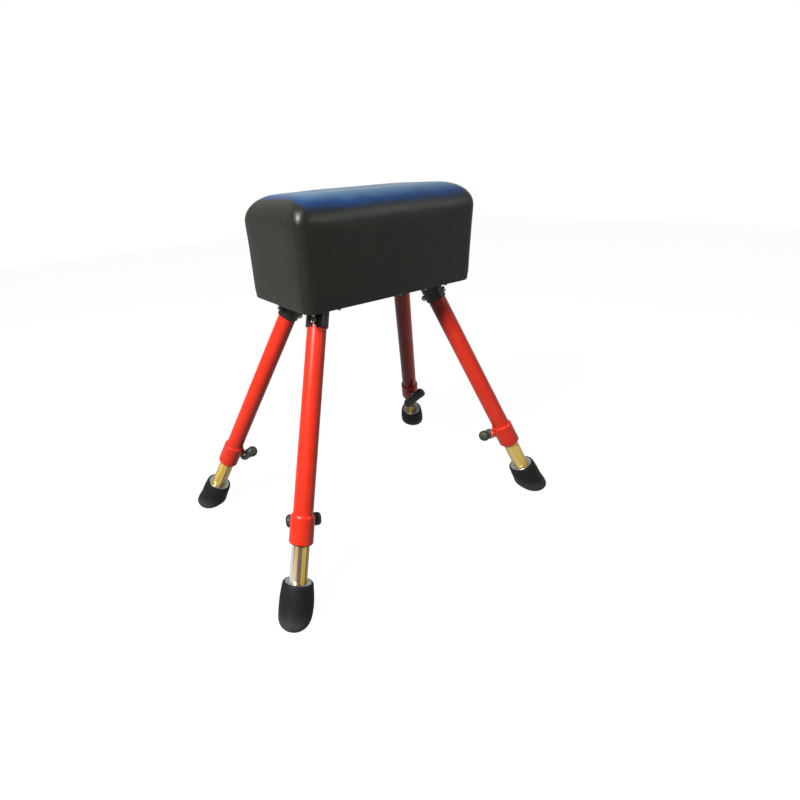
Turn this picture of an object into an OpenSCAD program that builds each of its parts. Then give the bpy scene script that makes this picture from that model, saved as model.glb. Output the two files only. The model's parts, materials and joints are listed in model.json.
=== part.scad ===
// Vaulting buck: a leather-covered wooden body on four splayed telescopic legs.
// Millimetres. Origin on the floor under the middle of the body, +X along the
// body, +Y towards its back, +Z up. Left is -X and front is -Y.

/* [Body] */
// Overall height, floor to the top of the leather
overall_h = 1150; // [1140:5:1170]
// Height of the padded body
body_h = 322; // [300:2:340]
// Length of the body at its lower edge
body_l = 658; // [640:2:700]
// Width of the body at its lower edge
body_w = 348; // [340:2:370]
// How much longer the body is at the top than at the bottom
end_flare = 28; // [0:2:36]
// How much wider the body is at the top than at the bottom
side_flare = 4; // [0:1:8]
// Radius of the rounding along the top edges
top_edge_r = 79; // [70:1:85]
// Radius of the upright corners
corner_r = 30; // [24:1:36]
// Thickness of the leather
leather_t = 3; // [2:0.5:3]
// Thickness of the felt padding over the top board
top_pad_t = 28; // [24:1:32]
// Thickness of the felt padding at the foot of the sides
side_pad_t = 15.5; // [14:0.5:18]

/* [Legs] */
// Distance of each leg's axis from the middle, along the body, under the body
leg_x = 225; // [222:1:227]
// Distance of each leg's axis from the middle, across the body, under the body
leg_y = 69; // [66:1:70]
// Lean of each leg from upright
leg_splay = 26.2; // [24:0.1:28]
// Direction of the lean, seen from above, measured from the long axis
leg_plan = 40.5; // [38:0.5:43]
// Outside diameter of the fixed leg tube
tube_d = 60; // [59:0.5:61]
// Outside diameter of the sliding inner leg
inner_d = 52; // [51:0.5:52.5]
// Wall thickness of the sliding inner leg
inner_wall = 2.5; // [2:0.5:3]
// Length of inner leg that shows between collar and foot
exposed_l = 105; // [96:1:110]
// Body height gained by one adjustment hole
height_step = 50; // [45:1:50]
// Adjustment holes above the one in use
holes_above = 5; // [3:1:5]

/* [Clamps] */
// Turn of the back left clamp round its leg, away from straight inwards
clamp_turn_back_left = -25; // [-30:5:30]
// Turn of the front left clamp round its leg
clamp_turn_front_left = 15; // [-30:5:30]
// Turn of the back right clamp round its leg
clamp_turn_back_right = 25; // [-30:5:30]
// Turn of the front right clamp round its leg
clamp_turn_front_right = 15; // [-30:5:30]
// Thread diameter of the clamp screw
screw_d = 16; // [14:1:16]
// Diameter of the locking pin
pin_d = 11; // [9:0.5:11]
// Overall length of the T-handle
handle_l = 108; // [96:2:112]
// Gap between the handle and the boss when the screw is backed off
handle_gap = 6; // [6:0.5:8]
// Resting turn of the back left T-handle
handle_turn_back_left = 130; // [0:5:175]
// Resting turn of the front left T-handle
handle_turn_front_left = 10; // [0:5:175]
// Resting turn of the back right T-handle
handle_turn_back_right = 140; // [0:5:175]
// Resting turn of the front right T-handle
handle_turn_front_right = 30; // [0:5:175]

/* [Hidden] */
$fn = 48;
hair = 0.1; // cutters run this far past the faces they cut
slice_h = 0.2; // height of the discs that a hull is stretched over

// Each leg: side along X, side along Y, turn of its clamp, and resting turn of its handle
front_left = [-1, -1, clamp_turn_front_left, handle_turn_front_left];
front_right = [1, -1, clamp_turn_front_right, handle_turn_front_right];
back_left = [-1, 1, clamp_turn_back_left, handle_turn_back_left];
back_right = [1, 1, clamp_turn_back_right, handle_turn_back_right];
legs = [front_left, front_right, back_left, back_right];
corners = [[-1, -1], [1, -1], [1, 1], [-1, 1]];

// Body and its wooden core
body_z = overall_h - body_h;
core_z = body_z + leather_t;
core_l = body_l - 2 * (leather_t + side_pad_t);
core_w = body_w - 2 * (leather_t + side_pad_t);
core_top = overall_h - leather_t - top_pad_t;
board_t = 18;
top_board_t = 50;
planed_edge = 30;
base_top = core_z + board_t;
walls_top = core_top - top_board_t;
turn_under = 40;
tack_inset = 32;
tack_pitch = 60;
tack_d = 2;
tack_head_d = 9;
tack_head_h = 2;
tack_l = 14;
wood_screw_d = 5;
wood_screw_l = 70;
wood_screw_head_h = 3;
wood_screw_xs = [-225, -75, 75, 225];
wood_clearance = 0.2;
block_side = 24;
block_lift = 36;

// Leg sockets and their fasteners. Stations are distances down the leg's axis,
// measured from the plane under the body.
plate_t = 6;
plate_l = 120;
plate_w = 110;
plate_corner_r = 8;
flange_hole_x = 47;
flange_hole_y = 42;
bolt_d = 10;
bolt_head_d = 20;
bolt_head_h = 5;
bolt_tail = 18;
washer_d = 20;
washer_t = 2;
nut_af = 17;
nut_h = 8;
socket_d = 70;
socket_top = -60;
socket_end = 74;
socket_bolt_at = 56;
slot_w = 15;
slot_top = 60;
board_hole_d = socket_d + 8;
fit_gap = 0.1;
run_gap = 0.05;

// Outer tube, collar and bushes
tube_wall = 2;
tube_top = -52;
collar_end = 705;
collar_top = collar_end - 80;
collar_d = 72;
lip_l = 6;
bush_flange_t = 3;
bush_l = 58;
tube_end = collar_end - lip_l - bush_flange_t - fit_gap;
clamp_at = collar_end - 50;
boss_d = 30;
boss_end = 42;
pin_hole_d = pin_d + 1;

// Inner leg and foot
foot_top = collar_end + exposed_l;
plate_under_t = 4;
foot_plate_d = 78;
foot_neck_d = 86;
foot_d = 101;
foot_wide_at = 54;
sole_d = 54;
sole_shift = 5;
sole_round_h = 28;
floor_at = body_z / cos(leg_splay);
inner_end = floor_at - 34;
inner_top = 255;
top_bush_l = 40;
hole_pitch = height_step / cos(leg_splay);

// Clamp screw, locking pin and handle. Radii are distances from the leg's axis.
pin_tip = inner_d / 2 + 1;
pin_travel = 5;
screw_start = tube_d / 2 + pin_travel + 0.5;
pin_l = screw_start - fit_gap - pin_tip;
stem_d = 7;
stem_l = 10;
grip_mid_d = 35;
grip_end_d = 39;
grip_round = 12;
grip_at = boss_end + handle_gap + grip_mid_d / 2;
screw_in_grip = 6;

// ---- helpers ----------------------------------------------------------------

// Moves its children into a leg's own frame: the origin is where the leg's axis
// meets the plane under the body, +Z runs down the leg and +X points inwards.
module at_leg(leg) {
    mirror([leg.x < 0 ? 1 : 0, 0, 0])
        mirror([0, leg.y < 0 ? 1 : 0, 0])
            translate([leg_x, leg_y, body_z])
                rotate([0, 0, leg_plan])
                    rotate([0, 180 - leg_splay, 0])
                        children();
}

// Moves its children from a leg's frame to its clamp: +Z runs out along the screw
module at_clamp(leg) {
    translate([0, 0, clamp_at])
        rotate([0, 0, -leg[2]])
            rotate([0, 90, 0])
                children();
}

// A plain ring or tube standing on the XY plane
module ring(outer_d, inner_d, h) {
    difference() {
        cylinder(d = outer_d, h = h);
        translate([0, 0, -hair])
            cylinder(d = inner_d, h = h + 2 * hair);
    }
}

module hex_prism(across_flats, h) {
    cylinder(d = across_flats / cos(30), h = h, $fn = 6);
}

// A thin rounded rectangle at height z, as four corner discs for a hull
module slice(z, half_l, half_w, r) {
    for (c = corners)
        translate([c.x * (half_l - r), c.y * (half_w - r), z])
            cylinder(r = r, h = slice_h, $fn = 32);
}

// The padded body's outer form, shrunk all round by inset
module body_form(inset) {
    low = body_z + inset;
    edge_r = top_edge_r - inset;
    shoulder = overall_h - top_edge_r;
    bottom_round = 5;
    hull() {
        slice(low, body_l / 2 - inset - bottom_round, body_w / 2 - inset - bottom_round, corner_r - inset);
        for (a = [-1:9]) {
            angle = max(a, 0) * 10;
            z = a < 0 ? low + bottom_round : shoulder + edge_r * sin(angle);
            up = (z - body_z) / body_h;
            drawn_in = edge_r * (1 - cos(angle)) + inset;
            slice(
                a < 9 ? z : z - slice_h,
                (body_l + end_flare * up) / 2 - drawn_in,
                (body_w + side_flare * up) / 2 - drawn_in,
                corner_r - inset + 0.3 * (drawn_in - inset)
            );
        }
    }
}

// A long bar of the core's section, its two upper edges planed off
module planed_bar(low, half_w, top) {
    linear_extrude(height = 2 * body_l, center = true)
        polygon([
            [-half_w, low],
            [half_w, low],
            [half_w, top - planed_edge],
            [half_w - planed_edge, top],
            [planed_edge - half_w, top],
            [-half_w, top - planed_edge]
        ]);
}

// The wooden core from height low up to its planed top, grown all round by extra
module core_form(low, extra) {
    intersection() {
        rotate([90, 0, 0])
            planed_bar(low, core_l / 2 + extra, core_top + extra);
        rotate([90, 0, 90])
            planed_bar(low - 1, core_w / 2 + extra, core_top + extra);
    }
}

// Where the tacks go: a row along each side and each end
tack_half_l = body_l / 2 - tack_inset;
tack_half_w = body_w / 2 - tack_inset;
tack_spots = concat(
    [for (i = [-4.5:4.5], s = [-1, 1]) [i * tack_pitch, s * tack_half_w]],
    [for (j = [-1.5:1.5], s = [-1, 1]) [s * tack_half_l, j * tack_pitch]]
);

module tack_holes() {
    for (spot = tack_spots)
        translate([spot.x, spot.y, body_z - hair])
            cylinder(d = tack_d + wood_clearance, h = tack_l + leather_t, $fn = 16);
}

// Wood screws run down through the top board and up through the base board
module at_wood_screws() {
    for (x = wood_screw_xs, s = [-1, 1]) {
        translate([x, s * (core_w - board_t) / 2, core_z])
            children();
        translate([x, s * (core_w - board_t) / 2, core_top - planed_edge])
            mirror([0, 0, 1])
                children();
    }
}

module wood_screw(gap) {
    cylinder(d1 = 2 * wood_screw_d + gap, d2 = wood_screw_d + gap, h = wood_screw_head_h);
    cylinder(d = wood_screw_d + gap, h = wood_screw_l + gap);
}

// Each hole goes on outwards from the head, so the upper screws can sit deep in the top board
module wood_screw_holes() {
    at_wood_screws() {
        translate([0, 0, -hair])
            wood_screw(2 * wood_clearance);
        translate([0, 0, -planed_edge - hair])
            cylinder(d = 2 * (wood_screw_d + wood_clearance), h = planed_edge + hair);
    }
}

// The four bolt places round one leg socket
module at_flange_bolts() {
    for (leg = legs, c = corners)
        translate([
            leg.x * leg_x + c.x * flange_hole_x,
            leg.y * leg_y + c.y * flange_hole_y,
            core_z - plate_t
        ])
            children();
}

module board(size_x, size_y, size_z, centre_x, centre_y, low) {
    translate([centre_x - size_x / 2, centre_y - size_y / 2, low])
        cube([size_x, size_y, size_z]);
}

// ---- body -------------------------------------------------------------------

module leather_cover() {
    color([0.20, 0.36, 0.45])
        difference() {
            body_form(0);
            body_form(leather_t);
            board(body_l - 2 * turn_under, body_w - 2 * turn_under, 2 * leather_t, 0, 0, body_z - leather_t / 2);
            tack_holes();
        }
}

module felt_padding() {
    color([0.72, 0.68, 0.60])
        difference() {
            body_form(leather_t + wood_clearance);
            core_form(core_z - leather_t, 2 * wood_clearance);
        }
}

module top_board() {
    color([0.80, 0.65, 0.42])
        difference() {
            core_form(walls_top, 0);
            wood_screw_holes();
        }
}

module side_board(side) {
    color([0.78, 0.62, 0.40])
        difference() {
            board(core_l, board_t, walls_top - base_top, 0, side * (core_w - board_t) / 2, base_top);
            wood_screw_holes();
        }
}

module side_board_front() side_board(-1);
module side_board_back() side_board(1);

module end_board(side) {
    color([0.74, 0.58, 0.38])
        board(board_t, core_w - 2 * board_t, walls_top - base_top, side * (core_l - board_t) / 2, 0, base_top);
}

module end_board_left() end_board(-1);
module end_board_right() end_board(1);

module base_board() {
    color([0.82, 0.68, 0.46])
        difference() {
            board(core_l, core_w, board_t, 0, 0, core_z);
            wood_screw_holes();
            tack_holes();
            at_flange_bolts()
                cylinder(d = bolt_d + 0.5, h = plate_t + board_t + hair);
            for (leg = legs)
                at_leg(leg)
                    translate([0, 0, 2 * socket_top])
                        cylinder(d = board_hole_d, h = -4 * socket_top);
        }
}

module corner_blocks() {
    color([0.86, 0.72, 0.50])
        for (c = corners)
            board(
                block_side, block_side, walls_top - base_top - block_lift,
                c.x * (core_l / 2 - board_t - block_side / 2),
                c.y * (core_w / 2 - board_t - block_side / 2),
                base_top + block_lift
            );
}

module core_screws() {
    color([0.75, 0.70, 0.45])
        at_wood_screws()
            wood_screw(0);
}

module cover_tacks() {
    color([0.55, 0.45, 0.20])
        for (spot = tack_spots)
            translate([spot.x, spot.y, body_z]) {
                cylinder(d = tack_d, h = tack_l, $fn = 16);
                translate([0, 0, -tack_head_h])
                    cylinder(d1 = tack_head_d / 2, d2 = tack_head_d, h = tack_head_h, $fn = 16);
            }
}

module flange_bolts() {
    color([0.62, 0.62, 0.55])
        at_flange_bolts() {
            translate([0, 0, -bolt_tail])
                cylinder(d = bolt_d, h = bolt_tail + plate_t + board_t);
            translate([0, 0, plate_t + board_t])
                cylinder(d1 = bolt_head_d, d2 = bolt_head_d / 2, h = bolt_head_h);
        }
}

module flange_washers() {
    color([0.68, 0.68, 0.60])
        at_flange_bolts()
            translate([0, 0, -washer_t])
                ring(washer_d, bolt_d + 2 * fit_gap, washer_t);
}

module flange_nuts() {
    color([0.66, 0.62, 0.42])
        at_flange_bolts()
            translate([0, 0, -washer_t - nut_h])
                difference() {
                    hex_prism(nut_af, nut_h);
                    translate([0, 0, -hair])
                        cylinder(d = bolt_d + 2 * fit_gap, h = nut_h + 2 * hair);
                }
}

// ---- leg sockets ------------------------------------------------------------

// Steel sleeve welded through a plate that bolts up under the base board
module leg_socket(leg) {
    color([0.10, 0.10, 0.10])
        difference() {
            union() {
                at_leg(leg)
                    translate([0, 0, socket_top])
                        cylinder(d = socket_d, h = socket_end - socket_top);
                translate([leg.x * leg_x, leg.y * leg_y, core_z - plate_t])
                    linear_extrude(plate_t)
                        rounded_rectangle(plate_l, plate_w, plate_corner_r);
            }
            at_leg(leg) {
                translate([0, 0, 2 * socket_top])
                    cylinder(d = tube_d + 2 * fit_gap, h = -4 * socket_top);
                translate([-socket_d, 0, socket_bolt_at])
                    rotate([0, 90, 0])
                        cylinder(d = bolt_d + 2 * fit_gap, h = 2 * socket_d);
                translate([-socket_d, -slot_w / 2, slot_top])
                    cube([socket_d, slot_w, socket_end]);
            }
            translate([0, 0, -hair])
                at_flange_bolts()
                    cylinder(d = bolt_d + 2 * fit_gap, h = plate_t + 2 * hair);
        }
}

module rounded_rectangle(l, w, r) {
    square([l - 2 * r, w], center = true);
    square([l, w - 2 * r], center = true);
    for (c = corners)
        translate([c.x * (l / 2 - r), c.y * (w / 2 - r)])
            circle(r = r);
}

// A cross bolt holds each tube in its socket
module socket_bolts() {
    color([0.72, 0.66, 0.55])
        for (leg = legs)
            at_leg(leg)
                translate([-socket_d / 2, 0, socket_bolt_at])
                    rotate([0, 90, 0]) {
                        cylinder(d = bolt_d, h = socket_d + nut_h + 3);
                        translate([0, 0, -bolt_head_h - 1])
                            hex_prism(nut_af, bolt_head_h + 1);
                    }
}

module socket_nuts() {
    color([0.66, 0.62, 0.42])
        for (leg = legs)
            at_leg(leg)
                translate([socket_d / 2, 0, socket_bolt_at])
                    rotate([0, 90, 0])
                        difference() {
                            hex_prism(nut_af, nut_h);
                            translate([0, 0, -hair])
                                cylinder(d = bolt_d + 2 * fit_gap, h = nut_h + 2 * hair);
                        }
}

// ---- fixed upper legs -------------------------------------------------------

module leg_tube(leg) {
    color([0.93, 0.22, 0.13])
        at_leg(leg)
            difference() {
                translate([0, 0, tube_top])
                    ring(tube_d, tube_d - 2 * tube_wall, tube_end - tube_top);
                translate([-tube_d, 0, socket_bolt_at])
                    rotate([0, 90, 0])
                        cylinder(d = bolt_d + 2 * fit_gap, h = 2 * tube_d);
                at_clamp(leg)
                    cylinder(d = pin_hole_d, h = tube_d);
            }
}

// Collar welded over the end of the tube, with the threaded boss for the clamp
module leg_collar(leg) {
    chamfer = 4;
    color([0.93, 0.22, 0.13])
        at_leg(leg)
            difference() {
                union() {
                    translate([0, 0, collar_top])
                        cylinder(d1 = collar_d - chamfer, d2 = collar_d, h = chamfer);
                    translate([0, 0, collar_top + chamfer])
                        cylinder(d = collar_d, h = collar_end - collar_top - 2 * chamfer);
                    translate([0, 0, collar_end - chamfer])
                        cylinder(d1 = collar_d, d2 = collar_d - 1.5 * chamfer, h = chamfer);
                    at_clamp(leg)
                        cylinder(d = boss_d, h = boss_end);
                }
                translate([0, 0, collar_top - hair])
                    cylinder(d = tube_d + 2 * fit_gap, h = collar_end - lip_l - collar_top + hair);
                translate([0, 0, collar_top])
                    cylinder(d = inner_d + 1, h = collar_end - collar_top + hair);
                at_clamp(leg)
                    cylinder(d = screw_d + 2 * run_gap, h = boss_end + hair);
            }
}

// Flanged guide bush held in the end of the tube by the collar's lip
module collar_bush(leg) {
    color([0.85, 0.82, 0.72])
        at_leg(leg)
            difference() {
                union() {
                    translate([0, 0, tube_end - bush_l])
                        cylinder(d = tube_d - 2 * tube_wall - 2 * run_gap, h = bush_l + bush_flange_t);
                    translate([0, 0, tube_end + fit_gap / 2])
                        cylinder(d = tube_d - 1, h = bush_flange_t);
                }
                translate([0, 0, tube_end - bush_l - hair])
                    cylinder(d = inner_d + 2 * run_gap, h = bush_l + bush_flange_t + 2 * hair);
                at_clamp(leg)
                    cylinder(d = pin_hole_d, h = tube_d);
            }
}

// ---- sliding inner legs -----------------------------------------------------

module inner_leg(leg) {
    color([0.88, 0.70, 0.28])
        at_leg(leg)
            difference() {
                translate([0, 0, inner_top])
                    ring(inner_d, inner_d - 2 * inner_wall, inner_end - inner_top);
                for (n = [-2:holes_above])
                    translate([0, 0, -n * hole_pitch])
                        at_clamp(leg)
                            cylinder(d = pin_hole_d, h = inner_d);
            }
}

// Guide bush clipped over the top end of the inner leg, running in the tube
module top_bush(leg) {
    cap_t = 3;
    color([0.85, 0.82, 0.72])
        at_leg(leg)
            translate([0, 0, inner_top - cap_t])
                difference() {
                    cylinder(d = tube_d - 2 * tube_wall - 2 * run_gap, h = cap_t + top_bush_l);
                    translate([0, 0, -hair])
                        cylinder(d = inner_d - 2 * inner_wall, h = cap_t + 2 * hair);
                    translate([0, 0, cap_t - fit_gap])
                        cylinder(d = inner_d + 2 * fit_gap, h = top_bush_l + 2 * fit_gap);
                }
}

// Steel washer plate that spreads the leg's load on the rubber foot
module foot_plate(leg) {
    color([0.80, 0.80, 0.78])
        at_leg(leg)
            translate([0, 0, foot_top])
                difference() {
                    union() {
                        cylinder(d1 = foot_plate_d - 2, d2 = foot_plate_d, h = 1);
                        translate([0, 0, 1])
                            cylinder(d = foot_plate_d, h = plate_under_t - 1);
                    }
                    translate([0, 0, -hair])
                        cylinder(d = inner_d + 2 * fit_gap, h = plate_under_t + 2 * hair);
                }
}

// Moulded rubber foot with a flat sole that lies level on the floor
module rubber_foot(leg) {
    edge_r = 6;
    color([0.09, 0.09, 0.09])
        difference() {
            hull() {
                at_leg(leg) {
                    translate([0, 0, foot_top])
                        cylinder(d = foot_neck_d, h = 1, $fn = 40);
                    translate([0, 0, foot_top + edge_r])
                        cylinder(d = foot_neck_d + edge_r, h = 1, $fn = 40);
                    translate([0, 0, foot_top + foot_wide_at])
                        cylinder(d = foot_d, h = 14, $fn = 40);
                }
                for (a = [0:15:90])
                    translate(concat(below_leg(leg, sole_shift * (1 - sin(a))), sole_round_h * (1 - cos(a))))
                        cylinder(d = sole_d + (foot_d - sole_d - 4) * sin(a), h = 0.5, $fn = 40);
            }
            at_leg(leg) {
                translate([0, 0, foot_top - 2 * hair])
                    cylinder(d = foot_plate_d + 2 * fit_gap, h = plate_under_t + 2 * hair + fit_gap);
                translate([0, 0, foot_top])
                    cylinder(d = inner_d + 2 * fit_gap, h = inner_end - foot_top + fit_gap);
            }
        }
}

// Where a leg's axis meets the floor, seen from above, moved inwards by shift
function below_leg(leg, shift) = [
    leg.x * (leg_x + (floor_at * sin(leg_splay) - shift) * cos(leg_plan)),
    leg.y * (leg_y + (floor_at * sin(leg_splay) - shift) * sin(leg_plan))
];

// ---- clamps -----------------------------------------------------------------

// Locking pin whose stem turns freely in the end of the clamp screw
module lock_pin(leg) {
    point_l = 1.5;
    color([0.75, 0.75, 0.75])
        at_leg(leg)
            at_clamp(leg) {
                translate([0, 0, pin_tip])
                    cylinder(d1 = pin_d - 2 * point_l, d2 = pin_d, h = point_l);
                translate([0, 0, pin_tip + point_l])
                    cylinder(d = pin_d, h = pin_l - point_l);
                translate([0, 0, pin_tip + pin_l])
                    cylinder(d = stem_d, h = stem_l);
            }
}

module clamp_screw(leg) {
    color([0.82, 0.80, 0.74])
        at_leg(leg)
            at_clamp(leg)
                difference() {
                    translate([0, 0, screw_start])
                        cylinder(d = screw_d, h = grip_at + screw_in_grip - screw_start);
                    translate([0, 0, screw_start - hair])
                        cylinder(d = stem_d + 2 * run_gap, h = stem_l + 1);
                }
}

// Moulded bar grip, a little thicker towards its rounded ends
module t_handle(leg) {
    color([0.12, 0.12, 0.11])
        at_leg(leg)
            at_clamp(leg)
                difference() {
                    translate([0, 0, grip_at])
                        rotate([0, 0, -leg[3]])
                            rotate([90, 0, 0])
                                rotate_extrude()
                                    grip_profile();
                    translate([0, 0, grip_at - grip_end_d])
                        cylinder(d = screw_d + 2 * fit_gap, h = grip_end_d + screw_in_grip + fit_gap);
                }
}

// Half outline of the grip in the plane of its own axis
module grip_profile() {
    half_l = handle_l / 2;
    end_r = grip_end_d / 2;
    polygon(concat(
        [[0, -half_l]],
        [for (a = [-90:15:0]) [end_r - grip_round + grip_round * cos(a), -half_l + grip_round * (1 + sin(a))]],
        [[grip_mid_d / 2, -14], [grip_mid_d / 2, 14]],
        [for (a = [0:15:90]) [end_r - grip_round + grip_round * cos(a), half_l - grip_round * (1 - sin(a))]],
        [[0, half_l]]
    ));
}

leather_cover();
felt_padding();
top_board();
side_board_front();
side_board_back();
end_board_left();
end_board_right();
base_board();
corner_blocks();
core_screws();
cover_tacks();
flange_bolts();
flange_washers();
flange_nuts();
socket_bolts();
socket_nuts();
leg_socket(front_left);  // leg_socket_front_left
leg_socket(front_right);  // leg_socket_front_right
leg_socket(back_left);  // leg_socket_back_left
leg_socket(back_right);  // leg_socket_back_right
leg_tube(front_left);  // leg_tube_front_left
leg_tube(front_right);  // leg_tube_front_right
leg_tube(back_left);  // leg_tube_back_left
leg_tube(back_right);  // leg_tube_back_right
leg_collar(front_left);  // leg_collar_front_left
leg_collar(front_right);  // leg_collar_front_right
leg_collar(back_left);  // leg_collar_back_left
leg_collar(back_right);  // leg_collar_back_right
collar_bush(front_left);  // collar_bush_front_left
collar_bush(front_right);  // collar_bush_front_right
collar_bush(back_left);  // collar_bush_back_left
collar_bush(back_right);  // collar_bush_back_right
inner_leg(front_left);  // inner_leg_front_left
inner_leg(front_right);  // inner_leg_front_right
inner_leg(back_left);  // inner_leg_back_left
inner_leg(back_right);  // inner_leg_back_right
top_bush(front_left);  // top_bush_front_left
top_bush(front_right);  // top_bush_front_right
top_bush(back_left);  // top_bush_back_left
top_bush(back_right);  // top_bush_back_right
foot_plate(front_left);  // foot_plate_front_left
foot_plate(front_right);  // foot_plate_front_right
foot_plate(back_left);  // foot_plate_back_left
foot_plate(back_right);  // foot_plate_back_right
rubber_foot(front_left);  // rubber_foot_front_left
rubber_foot(front_right);  // rubber_foot_front_right
rubber_foot(back_left);  // rubber_foot_back_left
rubber_foot(back_right);  // rubber_foot_back_right
lock_pin(front_left);  // lock_pin_front_left
lock_pin(front_right);  // lock_pin_front_right
lock_pin(back_left);  // lock_pin_back_left
lock_pin(back_right);  // lock_pin_back_right
clamp_screw(front_left);  // clamp_screw_front_left
clamp_screw(front_right);  // clamp_screw_front_right
clamp_screw(back_left);  // clamp_screw_back_left
clamp_screw(back_right);  // clamp_screw_back_right
t_handle(front_left);  // t_handle_front_left
t_handle(front_right);  // t_handle_front_right
t_handle(back_left);  // t_handle_back_left
t_handle(back_right);  // t_handle_back_right
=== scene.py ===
"""Looks for the vaulting buck: leather cover, clamps, rubber feet, weld beads and every finish."""

import json
import math

import bpy
import numpy as np
from mathutils import Matrix, Vector, noise


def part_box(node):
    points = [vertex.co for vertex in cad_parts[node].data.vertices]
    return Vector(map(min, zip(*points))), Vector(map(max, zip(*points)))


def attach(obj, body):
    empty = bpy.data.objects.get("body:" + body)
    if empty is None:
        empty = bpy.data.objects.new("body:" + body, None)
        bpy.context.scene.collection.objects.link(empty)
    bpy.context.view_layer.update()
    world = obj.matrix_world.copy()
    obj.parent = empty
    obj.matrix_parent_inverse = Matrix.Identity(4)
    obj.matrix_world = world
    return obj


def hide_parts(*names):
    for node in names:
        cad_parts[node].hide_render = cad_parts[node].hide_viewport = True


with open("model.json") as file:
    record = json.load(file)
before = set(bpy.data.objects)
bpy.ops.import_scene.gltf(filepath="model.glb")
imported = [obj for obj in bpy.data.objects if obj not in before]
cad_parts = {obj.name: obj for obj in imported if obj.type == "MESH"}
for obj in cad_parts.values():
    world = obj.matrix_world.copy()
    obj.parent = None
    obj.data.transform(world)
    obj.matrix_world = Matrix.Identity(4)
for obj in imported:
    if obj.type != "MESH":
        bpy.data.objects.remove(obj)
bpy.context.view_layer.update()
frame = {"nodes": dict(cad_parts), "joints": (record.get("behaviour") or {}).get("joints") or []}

JOINTS = {joint["name"]: joint for joint in frame["joints"]}
PLACES = ("front_left", "front_right", "back_left", "back_right")
BUCK = "buck_body"

# Sizes of the CAD model that its boxes don't give, in metres
END_FLARE = 0.028
SIDE_FLARE = 0.004
TOP_EDGE_R = 0.079
CORNER_R = 0.030
BOTTOM_R = 0.005
TURN_UNDER = 0.040
GRIP_AT = 0.0655
CLAMP_STATION = 0.655
BOSS_D = 0.030
COLLAR_D = 0.072
COLLAR_TOP = 0.625
TUBE_D = 0.060
SOCKET_D = 0.070
SCREW_D = 0.016
THREAD_PITCH = 0.002


# ---- frames of the legs and clamps ------------------------------------------

class Leg:
    """A leg's own directions and stations, read from its joints."""

    def __init__(self, place):
        self.place = place
        self.down = Vector(JOINTS["leg_slide_" + place]["axis"]).normalized()
        turn = JOINTS["handle_turn_" + place]
        self.out = Vector(turn["axis"]).normalized()
        self.grip_centre = Vector(turn["pos_m"])
        self.clamp_centre = self.grip_centre - self.out * GRIP_AT
        self.origin = self.clamp_centre - self.down * CLAMP_STATION
        self.floor_station = -self.origin.z / self.down.z
        self.sole_centre = self.origin + self.down * self.floor_station

    def frame(self, station):
        """Matrix whose origin is on the leg's axis and whose +Z runs down the leg."""
        return basis(self.origin + self.down * station, self.down, Vector((0, 0, 1)))

    def clamp_frame(self):
        """Matrix on the clamp's axis with +Z out along the screw and +X down the leg."""
        return basis(self.clamp_centre, self.out, self.down)


def basis(origin, z_axis, towards):
    """Right-handed matrix at origin whose +X leans as far as it can towards a direction."""
    x_axis = (towards - z_axis * towards.dot(z_axis)).normalized()
    y_axis = z_axis.cross(x_axis)
    matrix = Matrix((x_axis, y_axis, z_axis)).transposed().to_4x4()
    matrix.translation = origin
    return matrix


LEGS = {place: Leg(place) for place in PLACES}


# ---- mesh building ----------------------------------------------------------

class Build:
    """Collects vertices and faces, then makes one object from them."""

    def __init__(self):
        self.verts = []
        self.faces = []

    def add(self, verts, faces):
        start = len(self.verts)
        self.verts.extend(tuple(v) for v in verts)
        self.faces.extend(tuple(start + i for i in face) for face in faces)

    def rings(self, rings, closed_ends=True, loop=False):
        """Quads between rings that all have the same number of points."""
        count = len(rings[0])
        total = len(rings)
        faces = []
        for i in range(total if loop else total - 1):
            a, b = i * count, (i + 1) % total * count
            for j in range(count):
                k = (j + 1) % count
                faces.append((a + j, a + k, b + k, b + j))
        points = [p for ring in rings for p in ring]
        if closed_ends and not loop:
            for ring_index, flip in ((0, True), (total - 1, False)):
                centre = sum((Vector(p) for p in rings[ring_index]), Vector()) / count
                points.append(centre)
                base = ring_index * count
                for j in range(count):
                    k = (j + 1) % count
                    tri = (base + j, base + k, len(points) - 1)
                    faces.append(tri[::-1] if flip else tri)
        self.add(points, faces)

    def object(self, name, material, smooth_angle=40.0):
        mesh = bpy.data.meshes.new(name)
        mesh.from_pydata(self.verts, [], self.faces)
        mesh.materials.append(material)
        obj = bpy.data.objects.new(name, mesh)
        bpy.context.scene.collection.objects.link(obj)
        smooth(mesh, smooth_angle)
        return obj


def smooth(mesh, angle):
    """Smooth shading with creases where faces meet at more than this many degrees."""
    mesh.polygons.foreach_set("use_smooth", [True] * len(mesh.polygons))
    mesh.set_sharp_from_angle(angle=math.radians(angle))
    mesh.update()


def circle(matrix, radius, height, count):
    """Points round +Z of a matrix, at a height along it."""
    return [
        matrix @ Vector((radius * math.cos(a), radius * math.sin(a), height))
        for a in (2 * math.pi * i / count for i in range(count))
    ]


def lathe(build, matrix, profile, count):
    """Turns (radius, height) pairs round +Z of a matrix."""
    build.rings([circle(matrix, r, h, count) for r, h in profile])


def smoothstep(low, high, value):
    """0 below low, 1 above high, and a smooth rise between."""
    t = np.clip((value - low) / (high - low), 0, 1)
    return t * t * (3 - 2 * t)


# ---- materials --------------------------------------------------------------

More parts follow.
